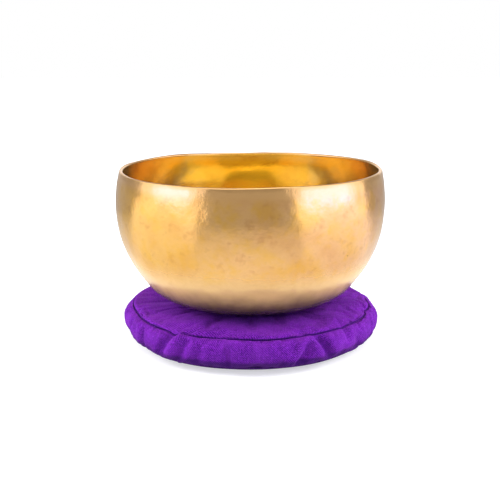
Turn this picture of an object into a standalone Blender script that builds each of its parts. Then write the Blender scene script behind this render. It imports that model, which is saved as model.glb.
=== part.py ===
"""Singing bowl on a round boxed cushion, in metres, +Z up.

The origin is the middle of the cushion's underside, where the object stands. The bowl's own axis is the
Z axis. The front is at -Y, and the joining seam of the cushion's side band is at the back, at +Y.
Profiles are points of (radius, height), and a turned piece is its profile spun about Z.
"""

import math

import bmesh
import bpy
from mathutils import Vector

MM = 0.001

# Bowl
BOWL_RADIUS = 105.0 * MM
BOWL_HEIGHT = 111.2 * MM
MOUTH_RADIUS = 102.0 * MM
RIM_THICKNESS = 2.9 * MM
WALL_THICKNESS = 1.6 * MM
BASE_THICKNESS = 2.0 * MM
THICKENED = 26.0 * MM  # the wall thickens over this height, below the rim and above the base
LIP_ROUNDNESS = 0.8  # height of the rounded lip as a share of half its thickness
SEAT_RADIUS = 41.0 * MM  # the cushion follows the bowl's base out to here
BOWL_STEPS = 64

# Cushion
BOWL_BASE_Z = 24.5 * MM  # where the loaded cushion holds the bowl's base
CUSHION_RADIUS = 101.7 * MM
WIDEST_Z = 14.6 * MM
CREST_Z = 29.8 * MM
FLAT_RADIUS = 86.0 * MM  # of the underside that lies on the table
CLOTH = 0.8 * MM
UPPER_SEAM = Vector((94.5 * MM, 25.4 * MM))
LOWER_SEAM = Vector((95.5 * MM, 3.0 * MM))
ALLOWANCE = 8.0 * MM  # cloth turned in behind each seam
ALLOWANCE_LEAN = math.radians(35.0)  # of the turned-in cloth, from upright
PLY_GAP = 1.1 * MM  # between the two turned-in plies, where the thread runs
FOLD_RADIUS = 0.8 * MM
JOINING_SEAM_Z = (11.0 * MM, 18.0 * MM)  # clear of the other seams' allowances
THREAD_RADIUS = 0.25 * MM
THREAD_DEPTH = 2.2 * MM  # behind the crease of the seam
CLEARANCE = 0.3 * MM
CUSHION_STEPS = 48

UP = 1
DOWN = -1

# Colour, roughness and metallic value
FINISHES = {
    "bronze": ((0.80, 0.56, 0.27), 0.28, 1.0),
    "cotton": ((0.20, 0.03, 0.42), 0.85, 0.0),
    "thread": ((0.13, 0.02, 0.30), 0.70, 0.0),
    "wadding": ((0.86, 0.83, 0.76), 0.95, 0.0),
}


def clear_scene():
    for thing in list(bpy.data.objects):
        bpy.data.objects.remove(thing)


def finish(name):
    """The material of that name, made on first use."""
    found = bpy.data.materials.get(name)
    if found:
        return found
    colour, roughness, metallic = FINISHES[name]
    made = bpy.data.materials.new(name)
    made.use_nodes = True
    shader = made.node_tree.nodes["Principled BSDF"]
    shader.inputs["Base Color"].default_value = (*colour, 1.0)
    shader.inputs["Roughness"].default_value = roughness
    shader.inputs["Metallic"].default_value = metallic
    return made


def in_mm(points):
    return [Vector((r * MM, z * MM)) for r, z in points]


def curve_through(points, steps=2):
    """A centripetal Catmull-Rom curve through the points, with that many steps between them."""
    ends = [2 * points[0] - points[1], *points, 2 * points[-1] - points[-2]]
    found = []
    for p0, p1, p2, p3 in zip(ends, ends[1:], ends[2:], ends[3:]):
        t1 = (p1 - p0).length ** 0.5
        t2 = t1 + (p2 - p1).length ** 0.5
        t3 = t2 + (p3 - p2).length ** 0.5
        for step in range(steps):
            t = t1 + (t2 - t1) * step / steps
            a1 = p0.lerp(p1, t / t1)
            a2 = p1.lerp(p2, (t - t1) / (t2 - t1))
            a3 = p2.lerp(p3, (t - t2) / (t3 - t2))
            b1 = a1.lerp(a2, t / t2)
            b2 = a2.lerp(a3, (t - t1) / (t3 - t1))
            found.append(b1.lerp(b2, (t - t1) / (t2 - t1)))
    return [*found, points[-1]]


def offset(line, distances):
    """The open line moved to its left, by one distance for each point. The axis stays on the axis."""
    moved = []
    for i, (point, distance) in enumerate(zip(line, distances)):
        along = (line[min(i + 1, len(line) - 1)] - line[max(i - 1, 0)]).normalized()
        there = point + Vector((-along.y, along.x)) * distance
        moved.append(Vector((0.0, there.y)) if point.x == 0.0 else there)
    return moved


def arc(centre, start, end, steps):
    """The points of the short arc about centre from start to end, both included."""
    first = start - centre
    last = end - centre
    turn = math.atan2(first.x * last.y - first.y * last.x, first.dot(last))
    points = []
    for step in range(steps + 1):
        cos = math.cos(turn * step / steps)
        sin = math.sin(turn * step / steps)
        points.append(centre + Vector((first.x * cos - first.y * sin, first.x * sin + first.y * cos)))
    return points


def fold(before, corner, after, steps=3):
    """The arc of FOLD_RADIUS that rounds the corner between two straight stretches of cloth."""
    back = (before - corner).normalized()
    on = (after - corner).normalized()
    half = back.angle(on) / 2
    reach = FOLD_RADIUS / math.tan(half)
    centre = corner + (back + on).normalized() * FOLD_RADIUS / math.sin(half)
    return arc(centre, corner + back * reach, corner + on * reach, steps)


def ply(line):
    """The closed outline of one ply of cloth around its middle line."""
    half = [CLOTH / 2] * len(line)
    other_half = [-CLOTH / 2] * len(line)
    return offset(line, half) + offset(line, other_half)[::-1]


def shown(name, mesh, finish_name):
    """An object of that mesh and finish, shaded smooth except over sharp edges."""
    mesh.materials.append(finish(finish_name))
    mesh.shade_smooth()
    mesh.set_sharp_from_angle(angle=math.radians(40))
    made = bpy.data.objects.new(name, mesh)
    bpy.context.scene.collection.objects.link(made)
    return made


def turned(name, outline, finish_name, steps, angle=math.tau, start=0.0):
    """The outline spun about Z. It is a closed loop, or it starts and ends on the axis."""
    bm = bmesh.new()
    verts = [bm.verts.new((p.x * math.cos(start), p.x * math.sin(start), p.y)) for p in outline]
    closing = [] if outline[0].x == 0.0 else [(verts[-1], verts[0])]
    edges = [bm.edges.new(pair) for pair in [*zip(verts, verts[1:]), *closing]]
    whole = angle == math.tau
    bmesh.ops.spin(
        bm, geom=verts + edges, cent=(0, 0, 0), axis=(0, 0, 1), angle=angle, steps=steps, use_merge=whole
    )
    bmesh.ops.remove_doubles(bm, verts=bm.verts, dist=0.001 * MM)
    if not whole:
        bmesh.ops.holes_fill(bm, edges=[e for e in bm.edges if e.is_boundary], sides=0)
    bmesh.ops.recalc_face_normals(bm, faces=bm.faces)
    mesh = bpy.data.meshes.new(name)
    bm.to_mesh(mesh)
    bm.free()
    return shown(name, mesh, finish_name)


def helper_slab(name, outline, low_x, high_x):
    """A hidden slab of that (y, z) outline between two x positions, for a Boolean."""
    bm = bmesh.new()
    face = bm.faces.new([bm.verts.new((low_x, p.x, p.y)) for p in outline])
    raised = bmesh.ops.extrude_face_region(bm, geom=[face])["geom"]
    moved = [v for v in raised if isinstance(v, bmesh.types.BMVert)]
    bmesh.ops.translate(bm, verts=moved, vec=(high_x - low_x, 0, 0))
    bmesh.ops.recalc_face_normals(bm, faces=bm.faces)
    mesh = bpy.data.meshes.new(name)
    bm.to_mesh(mesh)
    bm.free()
    made = bpy.data.objects.new(name, mesh)
    bpy.context.scene.collection.objects.link(made)
    made.hide_render = True
    made.display_type = "WIRE"
    return made


def combine(target, helper, operation):
    modifier = target.modifiers.new(helper.name, "BOOLEAN")
    modifier.operation = operation
    modifier.solver = "EXACT"
    modifier.object = helper


def bowl_outside():
    """The bowl's outer surface from the middle of its base to its rim."""
    above_base = [
        (0.0, 0.0),
        (25.0, 0.3),
        (SEAT_RADIUS / MM, 3.5),
        (62.5, 9.5),
        (75.9, 16.8),
        (85.5, 27.8),
        (94.8, 42.6),
        (102.0, 61.3),
        (BOWL_RADIUS / MM, 83.4),
        (104.2, 99.0),
        (MOUTH_RADIUS / MM, BOWL_HEIGHT / MM),
    ]
    return [p + Vector((0.0, BOWL_BASE_Z)) for p in curve_through(in_mm(above_base))]


def seat_line(depth):
    """The part of the bowl's base that presses into the cushion, moved down by depth."""
    seat = [p for p in bowl_outside() if p.x <= SEAT_RADIUS + CLEARANCE]
    return offset(seat, [-depth] * len(seat))


def wall_thickness(z):
    """The hammered wall is thin in the middle of its height, and thicker at the base and the rim."""
    height = z - BOWL_BASE_Z
    near_rim = max(0.0, 1.0 - (BOWL_HEIGHT - height) / THICKENED)
    near_base = max(0.0, 1.0 - height / THICKENED)
    at_rim = (RIM_THICKNESS - WALL_THICKNESS) * near_rim**2
    at_base = (BASE_THICKNESS - WALL_THICKNESS) * near_base
    return WALL_THICKNESS + at_rim + at_base


def make_bowl():
    """One beaten shell with a rounded lip, whose top is at the bowl's full height."""
    outside = bowl_outside()
    inside = offset(outside, [wall_thickness(p.y) for p in outside])
    lip_height = RIM_THICKNESS / 2 * LIP_ROUNDNESS
    outside[-1].y -= lip_height
    inside[-1].y = outside[-1].y
    middle = (outside[-1] + inside[-1]) / 2
    half_turn = [math.pi * share / 5 for share in range(1, 5)]
    half_width = (outside[-1].x - inside[-1].x) / 2
    lip = [middle + Vector((half_width * math.cos(a), lip_height * math.sin(a))) for a in half_turn]
    return turned("bowl", outside + lip + inside[::-1], "bronze", BOWL_STEPS)


def behind_seam(way):
    """The direction, inwards and down or up, in which the turned-in cloth lies."""
    return Vector((-math.sin(ALLOWANCE_LEAN), math.cos(ALLOWANCE_LEAN) * way))


def turned_in(corner, way):
    """The free edge of the cloth that is turned in at a corner."""
    return corner + behind_seam(way) * ALLOWANCE


def seam_corners(seam, way):
    """Where a disc's ply and the side band's ply turn in at a seam, to either side of its thread."""
    outwards = Vector((math.cos(ALLOWANCE_LEAN), math.sin(ALLOWANCE_LEAN) * way))
    apart = outwards * (PLY_GAP + CLOTH) / 2
    return seam - apart, seam + apart


def make_top_panel():
    """The upper disc: pressed in under the bowl, crowned round it, and turned in at the upper seam."""
    crown = in_mm([(50.0, 29.0), (59.0, (CREST_Z - CLOTH / 2) / MM), (73.0, 28.9), (84.0, 27.7)])
    seat = seat_line(CLEARANCE + CLOTH / 2)
    corner, _ = seam_corners(UPPER_SEAM, DOWN)
    edge = turned_in(corner, DOWN)
    line = seat[:-1] + curve_through([seat[-1], *crown])
    line += [*fold(line[-1], corner, edge), edge]
    return turned("cushion_top_panel", ply(line), "cotton", CUSHION_STEPS)


def make_bottom_panel():
    """The lower disc: flat on the table, lifted round its rim, and turned in at the lower seam."""
    middle_z = CLOTH / 2
    corner, _ = seam_corners(LOWER_SEAM, UP)
    edge = turned_in(corner, UP)
    line = [Vector((0.0, middle_z)), Vector((FLAT_RADIUS, middle_z)), *in_mm([(91.0, 0.9)])]
    line += [*fold(line[-1], corner, edge), edge]
    return turned("cushion_bottom_panel", ply(line), "cotton", CUSHION_STEPS)


def band_bulge():
    """The middle of the side band's cloth, where it bulges between the two seams."""
    widest = ((CUSHION_RADIUS - CLOTH / 2) / MM, WIDEST_Z / MM)
    return curve_through(in_mm([(98.0, 5.2), (100.2, 9.2), widest, (100.4, 19.4), (98.4, 22.8)]))


def make_side_band():
    """The strip between the discs. Its two ends are turned in side by side at the joining seam."""
    _, upper = seam_corners(UPPER_SEAM, DOWN)
    _, lower = seam_corners(LOWER_SEAM, UP)
    upper_edge = turned_in(upper, DOWN)
    lower_edge = turned_in(lower, UP)
    bulge = band_bulge()
    line = [lower_edge, *fold(lower_edge, lower, bulge[0]), *bulge]
    line += [*fold(bulge[-1], upper, upper_edge), upper_edge]
    gap = PLY_GAP / CUSHION_RADIUS
    start = math.pi / 2 + gap / 2
    band = turned("cushion_side_band", ply(line), "cotton", CUSHION_STEPS, math.tau - gap, start)
    outer = [p for p in bulge if JOINING_SEAM_Z[0] < p.y < JOINING_SEAM_Z[1]]
    flap = outer + [p - Vector((ALLOWANCE, 0.0)) for p in outer[::-1]]
    near = PLY_GAP / 2
    far = near + CLOTH
    combine(band, helper_slab("band_end_right", flap, near, far), "UNION")
    combine(band, helper_slab("band_end_left", flap, -far, -near), "UNION")
    return band


def make_filling():
    """The wadding, dished by the bowl. Its rim presses out between the seam allowances."""
    skin = 2 * CLEARANCE + CLOTH
    rim = in_mm([
        (50.0, 28.1),
        (59.0, (CREST_Z - skin) / MM),
        (73.0, 27.9),
        (83.0, 26.7),
        (87.0, 24.5),
        (87.6, 19.5),
        (89.6, 17.2),
        (99.4, 17.2),
        (100.3, WIDEST_Z / MM),
        (99.6, 11.6),
        (89.8, 11.4),
        (88.4, 9.4),
        (88.4, 4.0),
        (85.0, (CLOTH + CLEARANCE) / MM),
        (0.0, (CLOTH + CLEARANCE) / MM),
    ])
    filling = turned("cushion_filling", seat_line(skin) + rim, "wadding", CUSHION_STEPS)
    half_width = PLY_GAP / 2 + CLOTH + CLEARANCE
    inner = CUSHION_RADIUS - ALLOWANCE - 3 * CLEARANCE
    outer = CUSHION_RADIUS + ALLOWANCE
    room = [Vector((y, z)) for y, z in ((inner, 0.0), (outer, 0.0), (outer, CREST_Z), (inner, CREST_Z))]
    combine(filling, helper_slab("joining_seam_room", room, -half_width, half_width), "DIFFERENCE")
    return filling


def make_ring_thread(name, seam, way):
    """The thread that runs round between the two turned-in plies of a seam."""
    centre = seam + behind_seam(way) * THREAD_DEPTH
    angles = [math.tau * side / 6 for side in range(6)]
    outline = [centre + Vector((math.cos(a), math.sin(a))) * THREAD_RADIUS for a in angles]
    return turned(name, outline, "thread", CUSHION_STEPS)


def make_band_thread():
    """The short upright thread that closes the side band at the back."""
    heights = [p.y for p in band_bulge() if JOINING_SEAM_Z[0] < p.y < JOINING_SEAM_Z[1]]
    low = min(heights)
    high = max(heights)
    y = CUSHION_RADIUS - CLOTH - THREAD_DEPTH
    bm = bmesh.new()
    bmesh.ops.create_cone(
        bm, cap_ends=True, segments=8, radius1=THREAD_RADIUS, radius2=THREAD_RADIUS, depth=high - low
    )
    bmesh.ops.translate(bm, verts=bm.verts, vec=(0.0, y, (low + high) / 2))
    mesh = bpy.data.meshes.new("band_seam_thread")
    bm.to_mesh(mesh)
    bm.free()
    return shown("band_seam_thread", mesh, "thread")


def main():
    clear_scene()
    make_bowl()
    make_top_panel()
    make_side_band()
    make_bottom_panel()
    make_filling()
    make_ring_thread("upper_seam_thread", UPPER_SEAM, DOWN)
    make_ring_thread("lower_seam_thread", LOWER_SEAM, UP)
    make_band_thread()


main()
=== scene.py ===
"""The looks of a singing bowl on its cushion: beaten bronze, and a stuffed cover of sewn cotton.

Angles round the object are measured from the front, which is -Y, towards +X. Lengths are in metres.
"""

import math

import bpy
import numpy as np
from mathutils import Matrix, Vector, noise
from mathutils.kdtree import KDTree


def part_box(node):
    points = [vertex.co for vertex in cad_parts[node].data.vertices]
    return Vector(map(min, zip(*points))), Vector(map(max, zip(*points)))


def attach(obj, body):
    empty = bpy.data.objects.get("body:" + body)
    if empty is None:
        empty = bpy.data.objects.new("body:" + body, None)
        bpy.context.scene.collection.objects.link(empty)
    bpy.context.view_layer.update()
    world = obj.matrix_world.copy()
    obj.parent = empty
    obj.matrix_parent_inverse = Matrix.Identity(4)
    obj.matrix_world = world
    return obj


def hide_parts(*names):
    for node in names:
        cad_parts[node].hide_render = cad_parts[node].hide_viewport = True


MM = 0.001

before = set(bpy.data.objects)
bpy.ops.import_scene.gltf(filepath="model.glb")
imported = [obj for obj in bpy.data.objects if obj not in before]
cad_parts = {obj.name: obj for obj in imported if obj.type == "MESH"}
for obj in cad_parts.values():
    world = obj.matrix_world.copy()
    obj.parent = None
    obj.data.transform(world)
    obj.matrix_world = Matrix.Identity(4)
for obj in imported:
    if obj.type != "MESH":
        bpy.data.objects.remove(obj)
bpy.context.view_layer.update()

BOWL_LOW, BOWL_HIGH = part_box("bowl")
BOWL_RADIUS = BOWL_HIGH.x
BOWL_HEIGHT = BOWL_HIGH.z - BOWL_LOW.z
FORWARDS = np.array((0.0, -1.0, 0.0))

# Bowl. Its outside from the foot to the rim: radius and height in millimetres, fitted to the frame's bowl
BOWL_OUTLINE = (
    (0.0, 0.0),
    (25.0, 0.3),
    (41.0, 3.5),
    (62.5, 9.5),
    (76.9, 16.8),
    (86.3, 27.8),
    (95.4, 42.6),
    (102.3, 61.3),
    (105.0, 83.4),
    (104.2, 99.0),
    (102.0, 111.2),
)
RIM_THICKNESS = 2.9 * MM
WALL_THICKNESS = 1.6 * MM
BASE_THICKNESS = 2.0 * MM
THICKENED = 26.0 * MM  # how far from the rim and from the foot the wall is thicker
LIP_ROUNDNESS = 0.8  # 1 is a half-round rim, 0 a flat one
LIP_STEPS = 10
BOWL_SEGMENTS = 400
BOWL_SPACING = 1.9 * MM
# What the hammer left: the size of the unevenness, its height in millimetres, and its place in the noise
BEATEN = ((55 * MM, 0.40, (0, 0, 0)), (15 * MM, 0.15, (7, 3, 1)), (7 * MM, 0.045, (2, 9, 5)))
# One wide bulge at -X: its height up the bowl, its reach, and how far out it goes in millimetres
BULGE_HEIGHT = 68 * MM
BULGE_REACH = 38 * MM
BULGE = 1.1
# The rim's waves: height in millimetres, how many round, and start
RIM_WAVES = ((0.55, 1, 0.4), (0.3, 3, 1.0), (0.15, 7, 0.0))
# Single rises and dips of the rim: degrees, half-width in radians, and height in millimetres
RIM_RISES = ((180, 0.60, -0.9), (-138, 0.35, 0.5), (138, 0.35, -0.4))

# Cushion. Outlines give radius and height, and every number in a list is in millimetres or degrees
CLOTH_SEGMENTS = 240
CLOTH_SPACING = 2.6 * MM
FLAT_RADIUS = 82.0 * MM  # the lower disc lies on the table inside this
SEAT_RADIUS = 50.0 * MM  # the bowl presses on the upper disc inside this
SLACK_RADIUS = 62.0 * MM  # the upper disc follows its uneven seam outside this
LOWER_SEAM = (93.6, 4.0)
UPPER_SEAM = (94.0, 25.2)
BOTTOM_OUTLINE = ((6.0, 0.0), (45.0, 0.0), (82.0, 0.0), (86.5, 0.4), (90.5, 2.0), LOWER_SEAM)
BAND_OUTLINE = (
    LOWER_SEAM,
    (97.0, 5.2),
    (99.6, 7.6),
    (101.0, 11.0),
    (101.4, 14.8),
    (100.6, 19.6),
    (98.2, 23.4),
    UPPER_SEAM,
)
TOP_OUTLINE = (
    UPPER_SEAM,
    (90.0, 27.2),
    (75.0, 28.8),
    (59.0, 29.4),
    (50.0, 29.0),
    (41.0, 27.4),
    (25.0, 24.3),
    (6.0, 24.0),
)
TOP_MIDDLE = (0, 0, TOP_OUTLINE[-1][1] * MM)
# Radius of each seam by degrees round the cushion
UPPER_SEAM_RADII = (
    (-89, 94.8),
    (-74, 92.2),
    (-52, 94.2),
    (-39, 93.3),
    (-14, 91.6),
    (6, 95.2),
    (23, 91.7),
    (39, 93.0),
    (59, 93.4),
    (96, 94.2),
    (120, 93.0),
    (145, 94.8),
    (170, 93.4),
    (195, 94.6),
    (220, 93.0),
    (245, 94.4),
)
LOWER_SEAM_RADII = (
    (-90, 94.6),
    (-50, 95.2),
    (-10, 93.4),
    (30, 93.4),
    (60, 95.4),
    (100, 94.6),
    (160, 94.2),
    (215, 93.0),
)
# How much further out or in the band bulges, by degrees round the cushion
BAND_SWELL = (
    (-90, -0.3),
    (-76, -1.3),
    (-64, -1.4),
    (-54, -2.4),
    (-42, 0.3),
    (-20, 0.1),
    (0, -0.3),
    (20, 0.0),
    (34, -0.6),
    (47, -2.5),
    (58, -2.0),
    (75, -1.1),
    (92, -0.4),
    (120, 0.1),
    (180, -0.2),
    (240, 0.2),
)
# The seams' rise and fall: height, how many round the cushion, and start
LOWER_SEAM_WAVES = ((0.3, 5, 1.1),)
UPPER_SEAM_WAVES = ((0.35, 3, 0.6), (0.25, 7, 2.0))
SEAM_SWELL = 0.7  # the share of the band's swell that the lower seam follows
# The upper seam is higher behind: by how much, and between which degrees from the front it rises
BACK_RISE = 1.1
BACK_RISE_FROM = (80, 105)
# The kink in the upper seam at the right, and the shoulder beside it: degrees, and half-width in radians
KINK = (77.0, 0.045)
SHOULDER = (86.0, 0.08)
KINK_DEPTH = 1.9
# Folds of the side band: degrees where they meet the upper seam and the lower seam, width, depth, the side of
# the ridge that the pushed-up cloth makes (1 towards +X at the front), and the share of the band's height
# where the fold begins and ends
BAND_FOLDS = (
    (-37.0, -43.5, 4.2, 4.4, 1, 0.32, 1.05),
    (-26.0, -34.0, 3.4, 1.7, 1, 0.25, 0.90),
    (-20.0, -24.0, 3.2, 0.9, 1, 0.30, 0.85),
    (-9.5, -9.5, 3.0, 1.9, -1, 0.25, 0.75),
    (-55.0, -56.0, 3.0, 1.6, -1, 0.10, 0.95),
    (-69.0, -70.0, 3.0, 1.7, 1, 0.10, 0.90),
    (28.0, 18.5, 3.8, 3.0, -1, 0.20, 0.85),
    (30.5, 37.5, 4.0, 4.6, -1, 0.28, 1.00),
    (47.0, 47.0, 3.0, 1.4, 1, 0.60, 1.05),
    (72.0, 68.0, 3.6, 0.9, 1, 0.10, 0.90),
    (101.0, 95.0, 3.4, 1.6, 1, 0.10, 0.95),
    (123.0, 128.0, 3.0, 1.9, -1, 0.08, 0.95),
    (146.0, 143.0, 3.2, 1.2, 1, 0.25, 0.95),
    (196.0, 203.0, 3.4, 2.2, 1, 0.10, 0.97),
    (222.0, 219.0, 3.0, 1.1, -1, 0.15, 0.85),
    (243.0, 250.0, 3.2, 1.7, 1, 0.12, 0.95),
)
# Folds of the upper disc, from the seam inwards: degrees at the seam and at the inner end, width, depth and
# length
TOP_FOLDS = (
    (78.0, 88.0, 1.5, 0.9, 17.0),
    (75.0, 68.0, 1.6, 0.8, 15.0),
    (-37.0, -31.0, 3.4, 0.35, 16.0),
    (-66.0, -58.0, 3.6, 0.4, 18.0),
    (24.0, 15.0, 3.4, 0.3, 14.0),
    (124.0, 117.0, 2.6, 0.8, 15.0),
    (197.0, 205.0, 2.8, 0.9, 17.0),
    (244.0, 238.0, 2.6, 0.6, 15.0),
)
RIDGE_HEIGHT = 0.28  # of the ridge beside a fold, as a share of the fold's depth
FOLD_DEPTH = 1.15  # makes every fold of the band deeper
# Shares of the band's height over which a fold begins and ends, and by which its end overshoots
FOLD_FADE = 0.12
FOLD_OVERSHOOT = 0.02
# The cover's random rise and fall, up from the upper disc and away from the cushion's middle on the band
UNEVEN_SIZE = 19 * MM
UNEVEN_HEIGHT = 0.9 * MM
UNEVEN_PLACE = (5, 0, 0)  # in the noise
UNEVEN_RINGS = 3  # it dies away over so many rings at a seam
UNEVEN_RADIUS = 75 * MM  # it dies away from here to the bowl's seat
CUSHION_MIDDLE = (0, 0, 14 * MM)
# Sewing
CLOTH_THICKNESS = 0.6 * MM
FOLD_RADIUS = 1.2 * MM  # of the round edge where the cloth turns in at a seam
PLY_GAP = 0.15 * MM
TURNED_IN = 1.8 * MM
ALLOWANCE_LEAN = math.radians(35.0)
STITCH_PITCH = 3.2 * MM
STITCH_LENGTH = 2.3 * MM
STITCH_DEPTH = 1.3 * MM
STITCH_BOW = 0.5 * MM  # how much deeper a stitch's ends are than its middle
STITCH_RINGS = 6
STITCH_SIDES = 6
STITCH_TAPER = 0.6
THREAD_RADIUS = 0.24 * MM
WADDING_GAP = 2.4 * MM
# Simulation of the cloth
CLOTH = {
    "quality": 6,
    "mass": 0.15,
    "tension_stiffness": 15,
    "compression_stiffness": 15,
    "shear_stiffness": 5,
    "bending_stiffness": 0.3,
    "use_pressure": True,
    "uniform_pressure_force": 3.0,
    "shrink_min": -0.02,
    "vertex_group_mass": "held",
}
CLOTH_FRAMES = 20
CLOTH_CAP = 2.2 * MM  # the furthest that a point may go

# Studio
CAMERA_AT = Vector((-0.00065, -0.7229, 0.2408))
CAMERA_AIM = Vector((-0.00065, 0.0, 0.0692))
LENS = 67.0
SENSOR_WIDTH = 36.0
FLOOR_HALF = 4.0
FLOOR_WHITE = 0.55  # what the table sends back of the light
FLOOR_GLOW = 0.55  # what the camera sees on top of that
# The table as the bronze mirrors it: near the bowl, and far off to the sides
TABLE_NEAR = 1.15
TABLE_SIDES = 1.6
NEAR_TO_FRONT = (0.15, 0.60)
NEAR_TO_SIDES = (0.15, 1.00)
# The room as the bronze mirrors it: in front at three heights, behind at three heights, and between
FRONT_GREY = 0.53
FRONT_TOP_GREY = 0.40
FRONT_HIGH_GREY = 0.85
BACK_WHITE = 1.1
BACK_GREY = 0.52
BACK_TOP_GREY = 0.48
GAP_GREY = 0.42
BOX_LIGHT = 1.5
CORE_LIGHT = 2.1
CORE_COLOUR = (0.95, 1.0, 2.0)
CEILING_LIGHT = 2.1
# Between which heights of a direction, from 0 level to 1 straight up, each gives way to the next
FRONT_TO_TOP = (0.20, 0.55)
FRONT_TO_HIGH = (0.60, 0.72)
BACK_TO_GREY = (0.25, 0.40)
BACK_TO_TOP = (0.62, 0.78)
BOX_TO_WIDE = (0.26, 0.34)
BOX_END = (0.86, 0.94)
CORE_END = (0.20, 0.50)
TO_CEILING = (0.88, 0.96)
# Lamps that light the cloth and don't show in the bronze: place, size and power
LAMPS = (
    ("left_lamp", (-1.20, 0.10, 0.60), 0.7, 15.0),
    ("right_lamp", (1.20, 0.15, 0.60), 0.7, 15.0),
    ("upper_lamp", (0.0, 0.10, 1.60), 1.0, 9.0),
)
# Where each light begins and ends, and how soft each end is, in degrees round the object
LEFT_BOX = (-107.0, -40.0, 4.0, 2.5)
RIGHT_BOX = (35.5, 109.0, 3.0, 3.0)
LEFT_WIDE = (-127.0, -41.0, 2.0, 2.0)
RIGHT_WIDE = (37.0, 127.0, 2.0, 2.0)
LEFT_CORE = (-88.0, -50.0, 9.0, 6.0)
RIGHT_CORE = (46.0, 94.0, 8.0, 9.0)
FRONT = (-41.0, 37.0, 2.5, 3.0)
BEHIND = (math.radians(140.0), math.radians(165.0))


# ---------------------------------------------------------------- shapes


def curve_through(points, steps):
    """A centripetal Catmull-Rom curve through the points, with that many steps between them."""
    points = np.asarray(points, float)
    ends = np.vstack([2 * points[0] - points[1], points, 2 * points[-1] - points[-2]])
    found = []
    for p0, p1, p2, p3 in zip(ends, ends[1:], ends[2:], ends[3:]):
        t1 = np.linalg.norm(p1 - p0) ** 0.5
        t2 = t1 + np.linalg.norm(p2 - p1) ** 0.5
        t3 = t2 + np.linalg.norm(p3 - p2) ** 0.5
        for t in np.linspace(t1, t2, steps, endpoint=False):
            a1 = p0 + (p1 - p0) * t / t1
            a2 = p1 + (p2 - p1) * (t - t1) / (t2 - t1)
            a3 = p2 + (p3 - p2) * (t - t2) / (t3 - t2)
            b1 = a1 + (a2 - a1) * t / t2
            b2 = a2 + (a3 - a2) * (t - t1) / (t3 - t1)
            found.append(b1 + (b2 - b1) * (t - t1) / (t2 - t1))
    return np.array([*found, points[-1]])


def arc_lengths(line):
    """The distance of each point from the line's start, along the line."""
    return np.concatenate([[0.0], np.cumsum(np.linalg.norm(np.diff(line, axis=0), axis=1))])


def evenly(line, spacing):
    """The line with its points moved to even steps of about that spacing."""
    along = arc_lengths(line)
    count = max(2, round(along[-1] / spacing))
    at = np.linspace(0.0, along[-1], count + 1)
    return np.stack([np.interp(at, along, line[:, i]) for i in range(line.shape[1])], axis=1)


def left_normals(line):
    along = np.gradient(line, axis=0)
    along /= np.linalg.norm(along, axis=1)[:, None]
    return np.stack([-along[:, 1], along[:, 0]], axis=1)


def smoothstep(low, high, value):
    t = np.clip((value - low) / (high - low), 0.0, 1.0)
    return t * t * (3 - 2 * t)


def apart(angles, degrees):
    """How far the angles are past that many degrees, in radians from -pi to pi."""
    return (angles - np.radians(degrees) + math.pi) % math.tau - math.pi


def waves(angles, table, level=0.0):
    """A level plus sine waves round the circle, from (height, how many round, start) for each wave."""
    return sum((height * np.sin(count * angles + start) for height, count, start in table), level)


def ring_mesh(name, rings, first_pole, last_pole):
    """A mesh of rings of points, shape (rings, segments, 3), closed round, with its ends closed by a pole."""
    count, segments, _ = rings.shape
    verts = [tuple(p) for p in rings.reshape(-1, 3)]
    faces = []
    for i in range(count - 1):
        for j in range(segments):
            k = (j + 1) % segments
            faces.append((i * segments + j, i * segments + k, (i + 1) * segments + k, (i + 1) * segments + j))
    for pole, ring, flip in ((first_pole, 0, True), (last_pole, count - 1, False)):
        if pole is None:
            continue
        verts.append(tuple(pole))
        tip = len(verts) - 1
        for j in range(segments):
            k = (j + 1) % segments
            edge = (ring * segments + j, ring * segments + k)
            faces.append((edge[1], edge[0], tip) if flip else (edge[0], edge[1], tip))
    mesh = bpy.data.meshes.new(name)
    mesh.from_pydata(verts, [], faces)
    mesh.shade_smooth()
    return mesh


def placed(name, mesh):
    made = bpy.data.objects.new(name, mesh)
    bpy.context.scene.collection.objects.link(made)
    return made


# ---------------------------------------------------------------- bowl


def bowl_outside():
    line = curve_through(np.array(BOWL_OUTLINE) * MM, 12)
    return line * (BOWL_RADIUS / line[:, 0].max(), BOWL_HEIGHT / line[-1, 1])


def wall_thickness(height):
    near_rim = np.maximum(0.0, 1.0 - (BOWL_HEIGHT - height) / THICKENED)
    near_base = np.maximum(0.0, 1.0 - height / THICKENED)
    at_rim = (RIM_THICKNESS - WALL_THICKNESS) * near_rim**2
    at_base = (BASE_THICKNESS - WALL_THICKNESS) * near_base
    return WALL_THICKNESS + at_rim + at_base


def beaten(point):
    """How far the hammer left the sheet in or out at a point, in metres."""
    uneven = sum(noise.noise(point / size + Vector(place)) * height for size, height, place in BEATEN)
    from_bulge = (point - Vector((-BOWL_RADIUS, 0, BULGE_HEIGHT))).length / BULGE_REACH
    return (uneven + BULGE * math.exp(-from_bulge * from_bulge)) * MM


def rim_wave(angle):
    """The slight rise and fall of the hand-cut rim round the bowl."""
    wave = waves(angle, RIM_WAVES)
    for degrees, width, height in RIM_RISES:
        wave = wave + height * np.exp(-((apart(angle, degrees) / width) ** 2))
    return wave * MM


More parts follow.
